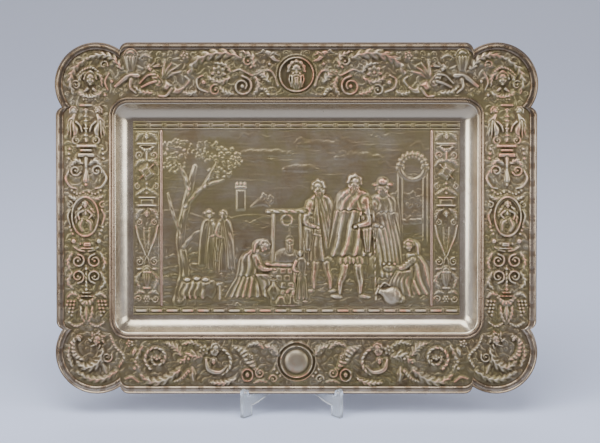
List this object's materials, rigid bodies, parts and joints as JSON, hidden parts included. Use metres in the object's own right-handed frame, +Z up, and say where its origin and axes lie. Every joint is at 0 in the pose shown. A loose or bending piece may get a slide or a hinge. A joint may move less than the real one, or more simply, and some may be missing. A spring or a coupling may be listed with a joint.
{
  "type": "decorative relief tray",
  "caption": "Rectangular tray with scalloped corners, a plain cove and pressed relief ornament, leaning back on a clear stand of two crossed panels.",
  "frame": {"origin": "middle of the footprint, on the surface that the stand's feet rest on", "axes": "+X to the right along the tray's long side, +Z up, the tray's face towards -Y"},
  "size_m": [0.4996, 0.1153, 0.375],
  "materials": {
    "plated_metal": "worn silver plate, tarnished in the hollows",
    "clear_sheet": "clear, polished"
  },
  "bodies": {
    "root": {"relief_tray": "plated_metal", "stand_panel_left": "clear_sheet", "stand_panel_right": "clear_sheet"}
  },
  "joints": []
}
